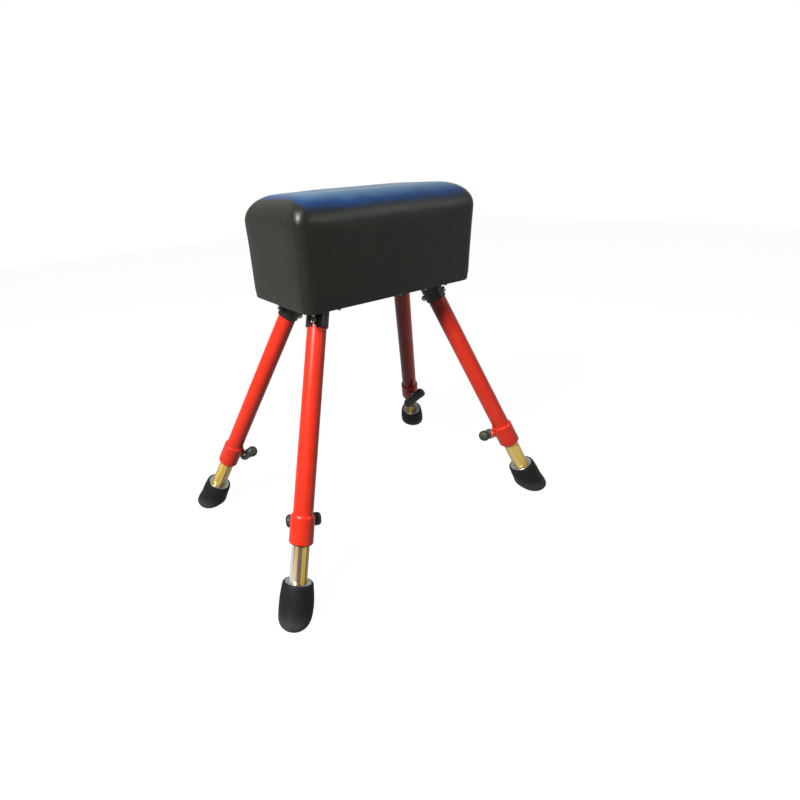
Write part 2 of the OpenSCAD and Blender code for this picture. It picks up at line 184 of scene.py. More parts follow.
class Finish:
    """A material with short calls for its nodes."""

    def __init__(self, name):
        self.material = bpy.data.materials.new(name)
        self.material.use_nodes = True
        self.tree = self.material.node_tree
        self.shader = self.tree.nodes["Principled BSDF"]
        self.place = self.node("ShaderNodeTexCoord").outputs["Object"]

    def node(self, kind, inputs=None, **settings):
        made = self.tree.nodes.new(kind)
        for key, value in settings.items():
            setattr(made, key, value)
        for key, value in (inputs or {}).items():
            if isinstance(value, bpy.types.NodeSocket):
                self.tree.links.new(value, made.inputs[key])
            else:
                made.inputs[key].default_value = value
        return made

    def set(self, **inputs):
        for key, value in inputs.items():
            socket = self.shader.inputs[key.replace("_", " ")]
            if isinstance(value, bpy.types.NodeSocket):
                self.tree.links.new(value, socket)
            else:
                socket.default_value = value
        return self

    def math(self, operation, *values, clamp=False):
        inputs = dict(enumerate(values))
        return self.node("ShaderNodeMath", inputs, operation=operation, use_clamp=clamp).outputs[0]

    def vector(self, operation, *values):
        inputs = dict(enumerate(values))
        made = self.node("ShaderNodeVectorMath", inputs, operation=operation)
        return made.outputs["Value" if operation in ("DOT_PRODUCT", "LENGTH") else "Vector"]

    def noise(self, scale, detail=3.0, roughness=0.5, vector=None, distortion=0.0):
        inputs = {
            "Vector": vector or self.place, "Scale": scale, "Detail": detail,
            "Roughness": roughness, "Distortion": distortion,
        }
        return self.node("ShaderNodeTexNoise", inputs).outputs["Fac"]

    def voronoi(self, scale, vector=None, output="Distance", **settings):
        inputs = {"Vector": vector or self.place, "Scale": scale}
        return self.node("ShaderNodeTexVoronoi", inputs, **settings).outputs[output]

    def ramp(self, value, low, high, to_low=0.0, to_high=1.0):
        inputs = {
            "Value": value, "From Min": low, "From Max": high,
            "To Min": to_low, "To Max": to_high,
        }
        made = self.node("ShaderNodeMapRange", inputs, interpolation_type="SMOOTHSTEP")
        return made.outputs["Result"]

    def mix(self, factor, a, b):
        made = self.node("ShaderNodeMix", {"Factor": factor}, data_type="RGBA")
        for index, value in ((6, a), (7, b)):
            if isinstance(value, bpy.types.NodeSocket):
                self.tree.links.new(value, made.inputs[index])
            else:
                made.inputs[index].default_value = (*value, 1)
        return made.outputs[2]

    def bump(self, height, distance, strength, normal=None):
        inputs = {"Height": height, "Distance": distance, "Strength": strength}
        if normal:
            inputs["Normal"] = normal
        return self.node("ShaderNodeBump", inputs).outputs["Normal"]

    def bevel(self, radius):
        return self.node("ShaderNodeBevel", {"Radius": radius}, samples=4).outputs["Normal"]

    def edges(self, bevelled, low=0.01, high=0.12):
        """1 on edges, found where the bevelled normal leaves the true one."""
        true_normal = self.node("ShaderNodeNewGeometry").outputs["Normal"]
        facing = self.vector("DOT_PRODUCT", bevelled, true_normal)
        return self.ramp(self.math("SUBTRACT", 1.0, facing), low, high)


def leather():
    """Dark blue cowhide with painted light: lit blue where it faces up, a paler painted sheen on
    the flattest top, and painted shade near black down the sides and further up the ends.
    """
    f = Finish("cover_leather")
    normal = f.node("ShaderNodeTexCoord").outputs["Normal"]
    parts = f.node("ShaderNodeSeparateXYZ", {0: normal})
    # Painted shade: faces turned towards either end count as less upward, so the ends go dark
    # further up than the sides.
    end_pull = f.math("MULTIPLY", f.math("ABSOLUTE", parts.outputs[0]), 0.75)
    upward = f.math("SUBTRACT", parts.outputs[2], end_pull)
    patchy = f.noise(9.0, 4.0, 0.6)
    upward = f.math("ADD", upward, f.ramp(patchy, 0.3, 0.7, -0.05, 0.05))
    # Painted light and shade: upward faces get the lit blue and the rest the shaded near-black. The
    # flattest top gets a paler painted sheen, a reflection of a bright backdrop.
    blue = f.ramp(upward, 0.34, 0.68)
    pale = f.ramp(upward, 0.62, 0.99)

    grain = f.voronoi(900.0, output="Distance", feature="SMOOTH_F1")
    fine = f.noise(2600.0, 2.0)
    wander = f.node("ShaderNodeTexNoise", {"Vector": f.place, "Scale": 14.0}).outputs["Color"]
    creases = f.voronoi(
        34.0,
        vector=f.vector("ADD", f.place, f.vector("SCALE", wander)),
        feature="DISTANCE_TO_EDGE",
    )
    crease_line = f.ramp(creases, 0.0, 0.05, 1.0, 0.0)
    scuffs = f.ramp(f.noise(55.0, 8.0, 0.7), 0.56, 0.72)

    # Three copies of one leather: dark is its painted-shade copy, bright its lit copy, and the
    # sheen colour its painted reflection.
    dark = f.mix(patchy, (0.0120, 0.0130, 0.0075), (0.0170, 0.0185, 0.0110))
    bright = f.mix(patchy, (0.008, 0.036, 0.135), (0.012, 0.050, 0.165))
    painted_sheen_colour = f.mix(patchy, (0.040, 0.120, 0.225), (0.056, 0.150, 0.255))
    colour = f.mix(pale, f.mix(blue, dark, bright), painted_sheen_colour)
    pores = f.math("MULTIPLY", f.ramp(grain, 0.2, 0.7), 0.35)
    colour = f.mix(pores, colour, (0.006, 0.007, 0.008))
    colour = f.mix(f.math("MULTIPLY", scuffs, 0.18), colour, (0.10, 0.12, 0.12))
    height = f.math("ADD", f.math("MULTIPLY", grain, -0.6), f.math("MULTIPLY", fine, 0.3))
    height = f.math("SUBTRACT", height, f.math("MULTIPLY", crease_line, 0.35))
    f.set(
        Base_Color=colour,
        Roughness=f.math(
            "ADD", f.ramp(patchy, 0.3, 0.7, 0.31, 0.40), f.math("MULTIPLY", scuffs, 0.15)),
        Specular_IOR_Level=0.32,
        Normal=f.bump(height, 0.00022, 0.8),
    )
    return f.material


def enamel(name, colour, shade, chip, roughness=0.28):
    """Sprayed enamel: slight orange peel, tone varying in clouds, chipped along edges."""
    f = Finish(name)
    bevelled = f.bevel(0.0011)
    cloudy = f.noise(18.0, 5.0, 0.6)
    wear = f.math("MULTIPLY", f.edges(bevelled), f.ramp(f.noise(260.0, 5.0, 0.65), 0.52, 0.66))
    specks = f.ramp(f.noise(420.0, 6.0, 0.7), 0.70, 0.78)
    chips = f.math("MAXIMUM", wear, f.math("MULTIPLY", specks, f.ramp(cloudy, 0.5, 0.65)))
    colour = f.mix(f.ramp(cloudy, 0.3, 0.7), colour, shade)
    peel = f.math("ADD", f.noise(520.0, 2.0), f.math("MULTIPLY", f.noise(90.0, 2.0), 0.6))
    height = f.math("SUBTRACT", f.math("MULTIPLY", peel, 0.35), f.math("MULTIPLY", chips, 0.8))
    f.set(
        Base_Color=f.mix(chips, colour, chip),
        Roughness=f.math("ADD", f.ramp(cloudy, 0.3, 0.7, roughness - 0.03, roughness + 0.06),
                         f.math("MULTIPLY", chips, 0.3)),
        Specular_IOR_Level=0.40,
        Coat_Weight=0.10,
        Coat_Roughness=0.12,
        Normal=f.bump(height, 0.00010, 0.6, bevelled),
    )
    return f.material


def along(f, axis, keep=0.06):
    """Coordinates squeezed along an axis, so that a pattern streaks that way."""
    station = f.vector("DOT_PRODUCT", f.place, tuple(axis))
    shrink = f.node("ShaderNodeVectorMath", {0: tuple(axis), "Scale": station}, operation="SCALE")
    lengthwise = f.node(
        "ShaderNodeVectorMath", {0: shrink.outputs["Vector"], "Scale": 1 - keep}, operation="SCALE")
    return f.vector("SUBTRACT", f.place, lengthwise.outputs["Vector"])


def yellow_zinc(name, axis, pale):
    """Yellow-passivated zinc on drawn tube: gold with dark streaks and pale violet streaks, the
    pale ones partly the plating's own iridescence and partly painted reflection.
    """
    f = Finish(name)
    drawn = along(f, axis)
    streak = f.noise(60.0, 3.0, 0.5, drawn)
    fine = f.noise(900.0, 3.0, 0.6, drawn)
    blotch = f.noise(34.0, 2.0, 0.5, drawn)
    # Dark streaks along the tube, in long thin patches.
    dark_streaks = f.ramp(f.noise(48.0, 2.0, 0.5, along(f, axis, 0.03)), 0.55, 0.62, 0.0, 0.85)
    colour = f.mix(f.ramp(streak, 0.35, 0.62), (0.76, 0.47, 0.065), (0.95, 0.70, 0.19))
    # Pale violet-white streaks: partly the plating's own iridescence, partly painted reflection,
    # their strength given per leg.
    colour = f.mix(f.ramp(blotch, 0.52, 0.68, 0.0, pale), colour, (0.80, 0.78, 0.84))
    colour = f.mix(dark_streaks, colour, (0.13, 0.11, 0.16))
    height = f.math("ADD", f.math("MULTIPLY", fine, 0.6), f.math("MULTIPLY", streak, 0.5))
    bevelled = f.bevel(0.0006)
    f.set(
        Base_Color=colour,
        Metallic=0.55,
        Roughness=f.ramp(fine, 0.3, 0.7, 0.20, 0.34),
        Normal=f.bump(height, 0.00006, 0.5, bevelled),
    )
    return f.material


def bright_steel(name, colour, tint, roughness):
    """Plated or bare steel with cloudy tint, fine scratches and rubbed edges."""
    f = Finish(name)
    bevelled = f.bevel(0.0006)
    cloudy = f.noise(60.0, 5.0, 0.65)
    scratches = f.ramp(f.noise(1400.0, 4.0, 0.7), 0.3, 0.7)
    edge = f.edges(bevelled)
    colour = f.mix(f.ramp(cloudy, 0.35, 0.65), colour, tint)
    f.set(
        Base_Color=f.mix(f.math("MULTIPLY", edge, 0.5), colour, (0.86, 0.85, 0.82)),
        Metallic=1.0,
        Roughness=f.ramp(f.math("ADD", cloudy, f.math("MULTIPLY", scratches, 0.3)), 0.4, 0.9,
                         roughness - 0.06, roughness + 0.12),
        Normal=f.bump(scratches, 0.00004, 0.4, bevelled),
    )
    return f.material


def rubber():
    """Moulded black rubber, greyer with dust towards the sole."""
    f = Finish("foot_rubber")
    height = f.node("ShaderNodeSeparateXYZ", {0: f.place}).outputs[2]
    cloudy = f.noise(45.0, 5.0, 0.65)
    fine = f.noise(1100.0, 3.0, 0.6)
    low = f.ramp(f.math("ADD", height, f.math("MULTIPLY", cloudy, 0.05)), 0.022, 0.088, 1.0, 0.0)
    dust = f.math("MULTIPLY", low, f.ramp(cloudy, 0.25, 0.7, 0.25, 0.9))
    specks = f.ramp(f.noise(300.0, 6.0, 0.7), 0.58, 0.70, 0.0, 0.7)
    scuffs = f.ramp(f.noise(60.0, 8.0, 0.75, distortion=0.8), 0.56, 0.70, 0.0, 0.30)
    colour = f.mix(cloudy, (0.0075, 0.0075, 0.0070), (0.0130, 0.0130, 0.0125))
    colour = f.mix(scuffs, colour, (0.055, 0.053, 0.052))
    colour = f.mix(f.math("MULTIPLY", dust, 0.75), colour, (0.15, 0.14, 0.16))
    colour = f.mix(f.math("MULTIPLY", specks, dust), colour, (0.26, 0.24, 0.24))
    f.set(
        Base_Color=colour,
        Roughness=f.ramp(cloudy, 0.3, 0.7, 0.52, 0.68),
        Specular_IOR_Level=0.22,
        Normal=f.bump(
            f.math("ADD", fine, f.math("MULTIPLY", cloudy, 2.0)), 0.00015, 0.6, f.bevel(0.0012)),
    )
    return f.material


def plastic(name, colour, shade, roughness):
    """Moulded plastic with a fine spark-eroded texture and rubbed high spots."""
    f = Finish(name)
    bevelled = f.bevel(0.0006)
    cloudy = f.noise(70.0, 4.0, 0.6)
    fine = f.voronoi(900.0, feature="SMOOTH_F1")
    rub = f.math("MULTIPLY", f.edges(bevelled, 0.005, 0.08), 0.5)
    colour = f.mix(f.ramp(cloudy, 0.3, 0.7), colour, shade)
    f.set(
        Base_Color=f.mix(rub, colour, tuple(min(1.0, 2.5 * c + 0.02) for c in shade)),
        Roughness=f.ramp(cloudy, 0.3, 0.7, roughness - 0.05, roughness + 0.08),
        Normal=f.bump(fine, 0.00008, 0.5, bevelled),
    )
    return f.material


def wood(name, light, dark, axis, plies=0.0):
    """Timber with grain along an axis; with plies, edges show their layers."""
    f = Finish(name)
    grain_place = along(f, axis, 0.08)
    rings = f.node(
        "ShaderNodeTexWave",
        {
            "Vector": grain_place, "Scale": 9.0, "Distortion": 9.0,
            "Detail": 3.0, "Detail Scale": 1.6,
        },
        wave_type="BANDS", bands_direction="DIAGONAL",
    ).outputs["Fac"]
    fibres = f.noise(520.0, 3.0, 0.6, along(f, axis, 0.02))
    colour = f.mix(f.ramp(rings, 0.2, 0.9), light, dark)
    if plies:
        height = f.node("ShaderNodeSeparateXYZ", {0: f.place}).outputs[2]
        layer = f.math("PINGPONG", height, plies)
        normal = f.node("ShaderNodeNewGeometry").outputs["Normal"]
        upright = f.node("ShaderNodeSeparateXYZ", {0: normal}).outputs[2]
        side = f.math("LESS_THAN", f.math("ABSOLUTE", upright), 0.5)
        line = f.math("MULTIPLY", side, f.ramp(layer, 0.25 * plies, 0.75 * plies))
        colour = f.mix(f.math("MULTIPLY", line, 0.75), colour, tuple(0.45 * c for c in dark))
    colour = f.mix(f.math("MULTIPLY", f.ramp(fibres, 0.5, 0.8), 0.4), colour, dark)
    f.set(
        Base_Color=colour,
        Roughness=f.ramp(rings, 0.0, 1.0, 0.50, 0.66),
        Normal=f.bump(f.math("ADD", fibres, rings), 0.00015, 0.5, f.bevel(0.0012)),
    )
    return f.material


def felt():
    """Pressed wool felt with flecks and a fibrous surface."""
    f = Finish("felt")
    fibres = f.noise(700.0, 6.0, 0.8, distortion=1.5)
    flecks = f.ramp(f.noise(160.0, 4.0, 0.7), 0.56, 0.66)
    colour = f.mix(fibres, (0.30, 0.27, 0.22), (0.46, 0.42, 0.35))
    f.set(
        Base_Color=f.mix(f.math("MULTIPLY", flecks, 0.5), colour, (0.16, 0.14, 0.13)),
        Roughness=0.95,
        Sheen_Weight=0.3,
        Normal=f.bump(fibres, 0.0006, 0.9),
    )
    return f.material


LEATHER = leather()
RED = enamel("red_paint", (0.76, 0.033, 0.011), (0.67, 0.026, 0.009), (0.30, 0.27, 0.24))
BLACK = enamel(
    "black_steel", (0.012, 0.012, 0.013), (0.018, 0.018, 0.018), (0.20, 0.19, 0.17), 0.34)
RUBBER = rubber()
GRIP = plastic("grip_plastic", (0.022, 0.024, 0.014), (0.034, 0.034, 0.020), 0.45)
NYLON = plastic("guide_plastic", (0.72, 0.69, 0.60), (0.64, 0.60, 0.50), 0.42)
SCREW = bright_steel("screw_steel", (0.70, 0.69, 0.66), (0.56, 0.54, 0.50), 0.26)
ZINC = bright_steel("zinc_steel", (0.34, 0.31, 0.22), (0.46, 0.40, 0.22), 0.36)
PLATE = bright_steel("plate_steel", (0.46, 0.47, 0.46), (0.36, 0.38, 0.40), 0.36)
BRASS = bright_steel("tack_brass", (0.62, 0.45, 0.18), (0.48, 0.34, 0.14), 0.34)
PLY = wood("plywood", (0.56, 0.38, 0.20), (0.40, 0.24, 0.11), (1, 0, 0), plies=0.0015)
TIMBER = wood("core_wood", (0.60, 0.43, 0.24), (0.44, 0.28, 0.13), (1, 0, 0))
FELT = felt()

CAD_CREASE = 32.0

FINISHES = {
    "felt_padding": FELT, "top_board": TIMBER, "side_board": TIMBER, "end_board": TIMBER,
    "base_board": PLY, "corner_blocks": TIMBER, "core_screws": ZINC, "cover_tacks": BRASS,
    "flange_bolts": ZINC, "flange_washers": ZINC, "flange_nuts": ZINC, "socket_bolts": ZINC,
    "socket_nuts": ZINC, "leg_socket": BLACK, "leg_tube": RED, "leg_collar": RED,
    "collar_bush": NYLON, "top_bush": NYLON, "foot_plate": PLATE, "lock_pin": SCREW,
    "clamp_screw": SCREW, "t_handle": GRIP, "rubber_foot": RUBBER, "leather_cover": LEATHER,
}

# How strongly pale streaks show through the gold of each inner leg: partly the plating's own
# iridescence, partly painted reflection, strongest on front_left
PALE_STREAKS_AND_REFLECTION = {"front_left": 0.8, "front_right": 0.35, "back_left": 0.2, "back_right": 0.2}


def dress_cad_nodes():
    """Gives every CAD node its finish and smooth shading between its sharp edges."""
    for name, obj in frame["nodes"].items():
        family = name
        for place in PLACES:
            family = family.replace("_" + place, "")
        if family.startswith(("side_board", "end_board")):
            family = family.rsplit("_", 1)[0]
        if family == "inner_leg":
            place = name.replace("inner_leg_", "")
            # Each inner leg's gold gets its own strength of pale streaks, partly painted
            # reflection.
            finish = yellow_zinc("yellow_zinc_" + place, LEGS[place].down, PALE_STREAKS_AND_REFLECTION[place])
        else:
            finish = FINISHES[family]
        obj.data.materials.clear()
        obj.data.materials.append(finish)
        smooth(obj.data, CAD_CREASE)


dress_cad_nodes()


# ---- leather cover ----------------------------------------------------------

LONG_STEPS = 72
SHORT_STEPS = 34
CORNER_STEPS = 3
SIDE_RINGS = 25
EDGE_RINGS = 15
UNDER_INSETS = (TURN_UNDER, 0.031, 0.022, 0.013)
COVER_START_INSET = 0.0015
COVER_T = 0.0026

# How far the cover may swell, and how firmly the padding holds it out
SIDE_CAP = 0.0032
TOP_CAP = 0.0085
PADDING_PUSH = 0.55
PADDING_GIVE = 0.0030
EVENING_ROUNDS = 14
SWELL_FRAMES = 20
CLOTH_SETTINGS = {
    "quality": 6, "mass": 0.4, "tension_stiffness": 18.0, "compression_stiffness": 18.0,
    "shear_stiffness": 8.0, "bending_stiffness": 2.0, "vertex_group_mass": "held",
    "use_pressure": True, "uniform_pressure_force": 4.0,
}

# Slack in the leather: (scales along x, y and z; offset along z; depth)
SLACK_WAVES = (((7, 9, 6), 3.1, 0.0009), ((19, 19, 11), 7.7, 0.0004))
TACK_PITCH = 0.060
TACK_PULL = 0.0009


def ring_points(half_l, half_w, corner_r, z):
    """One ring of the cover as four sides, each running between two corner middles."""
    points = []
    corners = [(-1, -1), (1, -1), (1, 1), (-1, 1)]
    for side in range(4):
        facing = math.radians(270 + 90 * side)
        steps = LONG_STEPS if side % 2 == 0 else SHORT_STEPS
        (ax, ay), (bx, by) = corners[side], corners[(side + 1) % 4]
        start = Vector((ax * (half_l - corner_r), ay * (half_w - corner_r), z))
        end = Vector((bx * (half_l - corner_r), by * (half_w - corner_r), z))

        def around(centre, angle):
            return centre + corner_r * Vector((math.cos(angle), math.sin(angle), 0))

        quarter = math.pi / 4
        points += [
            around(start, facing - quarter * (1 - i / CORNER_STEPS)) for i in range(CORNER_STEPS)]
        a, b = around(start, facing), around(end, facing)
        points += [a.lerp(b, i / steps) for i in range(steps)]
        points += [around(end, facing + quarter * i / CORNER_STEPS) for i in range(CORNER_STEPS)]
    return points


def coons(ring, across, down):
    """Fills a ring with a grid of points; its four sides become the grid's edges."""
    count = len(ring)
    front = [ring[i] for i in range(across + 1)]
    right = [ring[across + i] for i in range(down + 1)]
    back = [ring[(2 * across + down - i) % count] for i in range(across + 1)]
    left = [ring[(2 * across + 2 * down - i) % count] for i in range(down + 1)]
    rows = []
    for j in range(down + 1):
        v = j / down
        row = []
        for i in range(across + 1):
            u = i / across
            edges = front[i] * (1 - v) + back[i] * v + left[j] * (1 - u) + right[j] * u
            corners = (
                front[0] * (1 - u) * (1 - v) + front[-1] * u * (1 - v)
                + back[0] * (1 - u) * v + back[-1] * u * v
            )
            row.append(edges - corners)
        rows.append(row)
    return rows


def cover_mesh():
    """The cover as rings from its turned-under edge to its shoulder, and a grid on top."""
    low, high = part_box("leather_cover")
    height = high.z - low.z
    inset = COVER_START_INSET
    half_l = (high.x - low.x - END_FLARE * (1 - TOP_EDGE_R / height)) / 2
    half_w = (high.y - low.y - SIDE_FLARE * (1 - TOP_EDGE_R / height)) / 2

    def ring(z, drawn_in):
        up = (z - low.z) / height
        return ring_points(
            half_l + END_FLARE * up / 2 - drawn_in,
            half_w + SIDE_FLARE * up / 2 - drawn_in,
            max(CORNER_R + 0.3 * drawn_in - inset, 0.004),
            z,
        )

    rings = [
        ring_points(half_l - d, half_w - d, max(0.026 - 0.55 * d, 0.003), low.z)
        for d in UNDER_INSETS
    ]
    for a in (0, 30, 60):
        a = math.radians(a)
        rings.append(ring(
            low.z + BOTTOM_R * (1 - math.cos(a)), inset + BOTTOM_R * (1 - math.sin(a))))
    shoulder = high.z - TOP_EDGE_R
    side = np.linspace(low.z + BOTTOM_R, shoulder, SIDE_RINGS + 1)[:-1]
    rings += [ring(z, inset) for z in side]
    round_r = TOP_EDGE_R - inset
    for a in np.radians(np.linspace(0, 90, EDGE_RINGS)):
        rings.append(ring(shoulder + round_r * math.sin(a), inset + round_r * (1 - math.cos(a))))
    build = Build()
    build.rings(rings, closed_ends=False)
    start = len(build.verts) - len(rings[-1])
    across, down = LONG_STEPS + 2 * CORNER_STEPS, SHORT_STEPS + 2 * CORNER_STEPS
    grid = coons(rings[-1], across, down)
    count = len(rings[-1])
    index = {}
    for j in range(down + 1):
        for i in range(across + 1):
            if j == 0:
                index[i, j] = start + i
            elif i == across:
                index[i, j] = start + across + j
            elif j == down:
                index[i, j] = start + (2 * across + down - i) % count
            elif i == 0:
                index[i, j] = start + (2 * across + 2 * down - j) % count
            else:
                index[i, j] = len(build.verts)
                build.verts.append(tuple(grid[j][i]))
    for j in range(down):
        for i in range(across):
            build.faces.append(
                (index[i, j], index[i + 1, j], index[i + 1, j + 1], index[i, j + 1]))
    return build


def swell(obj):
    """Where a cloth simulation moves the cover, held along its tacked edge and blown up."""
    held_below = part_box("leather_cover")[0].z + BOTTOM_R * 0.9
    held = obj.vertex_groups.new(name="held")
    held.add([v.index for v in obj.data.vertices if v.co.z < held_below], 1.0, "ADD")
    cloth = obj.modifiers.new("swell", "CLOTH")
    for key, value in CLOTH_SETTINGS.items():
        setattr(cloth.settings, key, value)
    cloth.settings.effector_weights.gravity = 0.0
    cloth.collision_settings.use_collision = False
    cloth.collision_settings.use_self_collision = False
    scene = bpy.context.scene
    for number in range(1, SWELL_FRAMES + 1):
        scene.frame_set(number)
    evaluated = obj.evaluated_get(bpy.context.evaluated_depsgraph_get())
    swollen = np.array([v.co for v in evaluated.data.vertices])
    obj.modifiers.remove(cloth)
    scene.frame_set(1)
    return swollen


def averaged(mesh, values, rounds):
    """Evens out one value per vertex by averaging it with its neighbours."""
    ends = np.array([edge.vertices for edge in mesh.edges])
    count = len(values)
    neighbours = np.bincount(ends.ravel(), minlength=count)
    for _ in range(rounds):
        total = np.bincount(ends[:, 0], values[ends[:, 1]], count)
        total += np.bincount(ends[:, 1], values[ends[:, 0]], count)
        values = (values + total / neighbours) / 2
    return values


def relax_cover(obj):
    """Moves the cover out by its capped swelling, then adds slack and the pull of the tacks."""
    mesh = obj.data
    rest = np.array([v.co for v in mesh.vertices])
    normals = np.array([v.normal for v in mesh.vertices])
    low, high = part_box("leather_cover")
    up = (rest[:, 2] - low.z) / (high.z - low.z)
    moved = swell(obj)
    free = smoothstep(0.012, 0.10, up)
    cap = SIDE_CAP + (TOP_CAP - SIDE_CAP) * smoothstep(0.50, 0.97, up)
    padding = PADDING_PUSH * cap
    over = ((moved - rest) * normals).sum(axis=1) - padding
    outward = padding + (over + np.sqrt(over ** 2 + PADDING_GIVE ** 2)) / 2
    outward = cap * np.tanh(outward / cap)
    outward = free * averaged(mesh, outward, EVENING_ROUNDS)
    result = rest + normals * outward[:, None]

    slack = np.array([
        sum(
            noise.noise(Vector((p[0] * x, p[1] * y, p[2] * z + offset))) * depth
            for (x, y, z), offset, depth in SLACK_WAVES
        )
        for p in rest
    ])
    slack *= smoothstep(0.0, 0.10, up)
    long_side = np.abs(normals[:, 1]) > np.abs(normals[:, 0])
    around = np.where(long_side, rest[:, 0], rest[:, 1])
    scallop = np.cos(2 * np.pi * (around / TACK_PITCH - 0.5))
    near_tacks = (1 - smoothstep(0.0, 0.14, up)) * smoothstep(0.002, 0.03, up)
    slack += -TACK_PULL * (0.5 + 0.5 * scallop) * near_tacks
    result += normals * slack[:, None]
    mesh.vertices.foreach_set("co", result.astype(np.float32).ravel())
    mesh.update()


def make_cover():
    cover = cover_mesh().object("cover", LEATHER, 80.0)
    relax_cover(cover)
    subdivision = cover.modifiers.new("subdivision", "SUBSURF")
    subdivision.levels = subdivision.render_levels = 1
    thickness = cover.modifiers.new("thickness", "SOLIDIFY")
    thickness.thickness = COVER_T
    thickness.offset = -1.0
    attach(cover, BUCK)
    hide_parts("leather_cover")


make_cover()


# ---- feet -------------------------------------------------------------------

FOOT_SIDES = 72
NECK_R = 0.043
RIM_R = 0.0035
SEAT_R = 0.0391
SEAT_DEPTH = 0.0041
BORE_R = 0.0262
BORE_END = 0.0339
SOLE_R = 0.027
SOLE_SHIFT = 0.005

# Raised rings on the sole: first radius, pitch and depth
RIB_START = 0.003
RIB_PITCH = 0.008
RIB_DEPTH = 0.002

# The foot from sole to neck: outer point, inner point (outwards, up), half width
FOOT_PROFILE = (
    ((0.0311, 0.0017), (-0.0370, 0.0008), 0.0342),
    ((0.0407, 0.0082), (-0.0455, 0.0058), 0.0420),
    ((0.0465, 0.0184), (-0.0560, 0.0126), 0.0470),
    ((0.0450, 0.0300), (-0.0635, 0.0185), 0.0492),
    ((0.0355, 0.0460), (-0.0682, 0.0270), 0.0502),
    ((0.0245, 0.0625), (-0.0718, 0.0370), 0.0505),
    ((0.0165, 0.0775), (-0.0765, 0.0480), 0.0500),
    ((0.0060, 0.0975), (-0.0826, 0.0625), 0.0480),
)


def foot_ring(leg, outer, inner, half_w):
    """An oval ring across the foot, through an outer and an inner (outwards, up) point."""
    away = Vector((leg.down.x, leg.down.y, 0)).normalized()
    up = Vector((0, 0, 1))
    sideways = up.cross(away)
    far = leg.sole_centre + away * outer[0] + up * outer[1]
    near = leg.sole_centre + away * inner[0] + up * inner[1]
    middle, reach = (far + near) / 2, (far - near) / 2
    return [
        middle + reach * math.cos(a) + sideways * half_w * math.sin(a)
        for a in (2 * math.pi * i / FOOT_SIDES for i in range(FOOT_SIDES))
    ]


def square_ring(leg, to_floor, radius):
    """A round ring square on the leg, at a distance from the floor along the leg's axis."""
    lean = math.acos(-leg.down.z)
    x, z = -to_floor * math.sin(lean), to_floor * math.cos(lean)
    dx, dz = radius * math.cos(lean), radius * math.sin(lean)
    return (x + dx, z + dz), (x - dx, z - dz), radius


def level_ring(radius, height, shift):
    """A round level ring, at a height above the floor."""
    return (radius - shift, height), (-radius - shift, height), radius


def glide(keys, steps):
    """Catmull-Rom curve through rings given as (outer point, inner point, half width)."""
    flat = [np.array([*outer, *inner, half_w]) for outer, inner, half_w in keys]
    flat = [2 * flat[0] - flat[1], *flat, 2 * flat[-1] - flat[-2]]
    made = []
    for i in range(1, len(flat) - 2):
        p, q, r, t = flat[i - 1:i + 3]
        for k in range(steps):
            u = k / steps
            v = 0.5 * (2 * q + (r - p) * u + (2 * p - 5 * q + 4 * r - t) * u * u
                       + (3 * q - p - 3 * r + t) * u ** 3)
            made.append((tuple(v[0:2]), tuple(v[2:4]), v[4]))
    return made


def make_foot(leg):
    """One rubber foot: ribbed flat sole, big heel rounding and a seat for the steel plate."""
    plate_low, plate_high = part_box("foot_plate_" + leg.place)
    top = leg.floor_station - ((plate_low + plate_high) / 2 - leg.origin).dot(leg.down) + 0.002
    rings = []
    for r in np.arange(RIB_START, 0.022, RIB_PITCH):
        rings += [
            level_ring(radius, height, SOLE_SHIFT)
            for radius, height in (
                (r, 0.0), (r + 0.0045, 0.0), (r + 0.0051, RIB_DEPTH), (r + 0.0074, RIB_DEPTH))
        ]
    rings += glide([
        level_ring(SOLE_R, 0.0, SOLE_SHIFT),
        *FOOT_PROFILE,
        square_ring(leg, top - 0.0045, NECK_R + 0.0024),
        square_ring(leg, top - RIM_R, NECK_R + 0.0012),
    ], 3)
    for a in np.radians(np.linspace(0, 90, 6)):
        rings.append(square_ring(
            leg, top - RIM_R * (1 - math.sin(a)), NECK_R + 0.0012 - RIM_R * (1 - math.cos(a))))
    rings.append(square_ring(leg, top, SEAT_R + 0.0003))
    rings.append(square_ring(leg, top - 0.0006, SEAT_R))
    rings.append(square_ring(leg, top - SEAT_DEPTH, SEAT_R))
    rings.append(square_ring(leg, top - SEAT_DEPTH, BORE_R))
    rings.append(square_ring(leg, BORE_END, BORE_R))
    build = Build()
    build.rings([foot_ring(leg, *ring) for ring in rings])
    foot = build.object("foot_" + leg.place, RUBBER, 38.0)
    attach(foot, "leg_" + leg.place)
    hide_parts("rubber_foot_" + leg.place)


# ---- clamps -----------------------------------------------------------------

GRIP_SIDES = 84
FLUTES = 14
GRIP_MID_R = 0.0175
GRIP_END_R = 0.0195
GRIP_END_ROUND = 0.012
FLUTE_DEPTH = 0.0013
FERRULE_R = 0.0112
FERRULE_L = 0.0052
SCREW_SLACK = 0.00002
PIN_BORE = (0.00355, 0.011)


def long_axis(node_name):
    """The direction a CAD node is longest in."""
    points = np.array([v.co for v in frame["nodes"][node_name].data.vertices])
    directions = np.linalg.eigh(np.cov((points - points.mean(0)).T))[1]
    return Vector(directions[:, -1])


